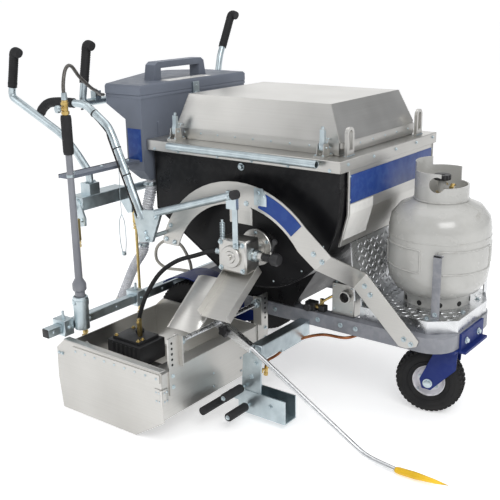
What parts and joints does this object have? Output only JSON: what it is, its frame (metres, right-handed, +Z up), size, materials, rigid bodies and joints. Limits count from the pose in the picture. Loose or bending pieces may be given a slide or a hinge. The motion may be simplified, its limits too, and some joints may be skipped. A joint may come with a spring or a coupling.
{
  "type": "line striping machine",
  "caption": "Walk-behind thermoplastic line striping machine with a gas-fired kettle, bead hopper, screed die box, lift and flow levers, hand torch and guide pointer.",
  "frame": {"origin": "ground level under the middle of the machine's overall footprint", "axes": "+X forward towards the gas cylinder and caster, +Y to the machine's left, +Z up"},
  "size_m": [1.6589, 1.2383, 1.2177],
  "materials": {
    "stainless": "brushed stainless sheet",
    "zinc": "bright zinc plate",
    "yellow_zinc": "yellow zinc plate",
    "brass": "machined brass",
    "aluminium": "plain aluminium",
    "tread_plate": "five-bar aluminium tread plate",
    "frame_grey": "grey powder coat",
    "kettle_black": "black satin paint",
    "caster_blue": "blue gloss paint",
    "tank_white": "off-white gloss paint",
    "rim_white": "white paint",
    "hopper_grey": "moulded polyethylene, fine grain",
    "rubber": "black rubber",
    "tyre": "black tyre rubber",
    "black_plastic": "black plastic",
    "clear_hose": "clear ribbed vinyl",
    "grey_hose": "braided steel over hose",
    "yellow_plastic": "yellow plastic"
  },
  "bodies": {
    "chassis": {"axle_carrier": "caster_blue", "bead_cone": "stainless", "bead_hopper": "hopper_grey", "bead_hose_lower": "clear_hose", "bead_hose_upper": "clear_hose", "burner_box": "stainless", "caster_mount": "caster_blue", "chute_scoop": "stainless", "deck_plate": "tread_plate", "frame": "frame_grey", "gas_cylinder": "tank_white", "grip_left": "rubber", "grip_right": "rubber", "handlebar": "zinc", "kettle_jacket": "kettle_black", "kettle_pot": "stainless", "kettle_rim": "stainless", "outrigger": "zinc", "side_arch": "stainless", "side_rail": "zinc", "toolbar": "zinc", "toolbar_clamp_inner": "zinc", "toolbar_clamp_outer": "zinc", "torch_holder": "zinc", "valve_body": "stainless"},
    "caster_fork": {"caster_fork": "caster_blue"},
    "caster_wheel": {"caster_tyre": "tyre", "caster_rim": "rim_white"},
    "rear_wheel_right": {"rear_wheel_right": "tyre"},
    "rear_wheel_left": {"rear_wheel_left": "tyre"},
    "kettle_lid": {"kettle_lid": "stainless"},
    "clamp_handle_front": {"clamp_handle_front": "zinc"},
    "clamp_handle_rear": {"clamp_handle_rear": "zinc"},
    "hopper_lid": {"hopper_lid": "hopper_grey"},
    "hopper_latch": {"hopper_latch": "zinc"},
    "lift_lever": {"lift_lever": "zinc", "lift_lever_grip": "rubber", "lift_beam": "zinc"},
    "die_box": {"die_box": "stainless", "die_liner": "stainless", "screed_die": "stainless", "die_block": "black_plastic", "lift_rod_right": "yellow_zinc", "lift_rod_left": "yellow_zinc", "width_bar": "aluminium", "die_hose": "rubber"},
    "pointer": {"pointer_arm": "aluminium", "pointer_tip": "yellow_plastic"},
    "pointer_knob": {"pointer_knob": "black_plastic"},
    "valve_lever": {"valve_lever": "zinc", "valve_lever_grip": "rubber"},
    "valve_link": {"valve_link": "zinc"},
    "cylinder_handwheel": {"cylinder_handwheel": "black_plastic"},
    "torch": {"torch_pole": "frame_grey", "torch_grip": "rubber", "torch_valve": "brass", "torch_hose": "grey_hose"},
    "torch_knob": {"torch_knob": "zinc"},
    "mixer": {"mixer": "stainless"},
    "foot_roller": {"foot_roller": "rubber"}
  },
  "joints": [
    {"name": "caster_swivel", "type": "hinge", "parent": "chassis", "child": "caster_fork", "pos_m": [0.62111, 0.1059, 0.228], "axis": [0, 0, 1], "continuous": true},
    {"name": "caster_wheel_spin", "type": "hinge", "parent": "caster_fork", "child": "caster_wheel", "pos_m": [0.5726, 0.0938, 0.108], "axis": [0.2419, -0.9703, 0], "continuous": true},
    {"name": "rear_wheel_right_spin", "type": "hinge", "parent": "chassis", "child": "rear_wheel_right", "pos_m": [-0.2694, -0.0502, 0.157], "axis": [0, 1, 0], "continuous": true},
    {"name": "rear_wheel_left_spin", "type": "hinge", "parent": "chassis", "child": "rear_wheel_left", "pos_m": [-0.2694, 0.3618, 0.157], "axis": [0, 1, 0], "continuous": true},
    {"name": "kettle_lid_hinge", "type": "hinge", "parent": "chassis", "child": "kettle_lid", "pos_m": [0.0306, 0.4028, 0.836], "axis": [-1, 0, 0], "range_deg": [0, 100]},
    {"name": "clamp_front_hinge", "type": "hinge", "parent": "chassis", "child": "clamp_handle_front", "pos_m": [0.2946, -0.1122, 0.85], "axis": [1, 0, 0], "range_deg": [0, 90]},
    {"name": "clamp_rear_hinge", "type": "hinge", "parent": "chassis", "child": "clamp_handle_rear", "pos_m": [-0.2814, -0.1122, 0.85], "axis": [1, 0, 0], "range_deg": [0, 90]},
    {"name": "hopper_lid_hinge", "type": "hinge", "parent": "chassis", "child": "hopper_lid", "pos_m": [-0.6979, 0.2458, 0.967], "axis": [0, -1, 0], "range_deg": [0, 35]},
    {"name": "hopper_latch_hinge", "type": "hinge", "parent": "chassis", "child": "hopper_latch", "pos_m": [-0.3694, 0.0998, 0.942], "axis": [0, 1, 0], "range_deg": [0, 120]},
    {"name": "lift_lever_hinge", "type": "hinge", "parent": "chassis", "child": "lift_lever", "pos_m": [-0.4694, -0.3002, 0.64], "axis": [0, -1, 0], "range_deg": [0, 50]},
    {"name": "die_box_lift", "type": "slide", "parent": "chassis", "child": "die_box", "axis": [0, 0, 1], "range_m": [0, 0.0301]},
    {"name": "pointer_fold", "type": "hinge", "parent": "die_box", "child": "pointer", "pos_m": [0.0466, -0.3142, 0.312], "axis": [0, -1, 0], "range_deg": [0, 40]},
    {"name": "pointer_knob_turn", "type": "hinge", "parent": "pointer", "child": "pointer_knob", "pos_m": [0.0806, -0.3255, 0.296], "axis": [0, -1, 0], "continuous": true},
    {"name": "valve_lever_hinge", "type": "hinge", "parent": "chassis", "child": "valve_lever", "pos_m": [-0.2564, -0.2942, 0.53], "axis": [0, -1, 0], "range_deg": [0, 5]},
    {"name": "valve_link_lift", "type": "slide", "parent": "chassis", "child": "valve_link", "axis": [0, 0, 1], "range_m": [0, 0.0295]},
    {"name": "cylinder_handwheel_turn", "type": "hinge", "parent": "chassis", "child": "cylinder_handwheel", "pos_m": [0.5306, 0.2048, 0.7243], "axis": [0, 0, 1], "range_deg": [0, 720]},
    {"name": "torch_lift", "type": "slide", "parent": "chassis", "child": "torch", "axis": [0, 0, 1], "range_m": [0, 0.08]},
    {"name": "torch_knob_turn", "type": "hinge", "parent": "torch", "child": "torch_knob", "pos_m": [-0.3734, -0.5195, 0.965], "axis": [-0.1961, -0.9806, 0], "range_deg": [0, 720]},
    {"name": "mixer_spin", "type": "hinge", "parent": "chassis", "child": "mixer", "pos_m": [0.0506, 0.1558, 0.7], "axis": [0, 1, 0], "continuous": true},
    {"name": "foot_roller_spin", "type": "hinge", "parent": "chassis", "child": "foot_roller", "pos_m": [0.0786, -0.3792, 0.07], "axis": [0, 1, 0], "continuous": true}
  ],
  "couplings": [
    {"joint": "die_box_lift", "follows": "lift_lever_hinge", "m_per_rad": 0.0344},
    {"joint": "valve_link_lift", "follows": "valve_lever_hinge", "m_per_rad": 0.334}
  ]
}
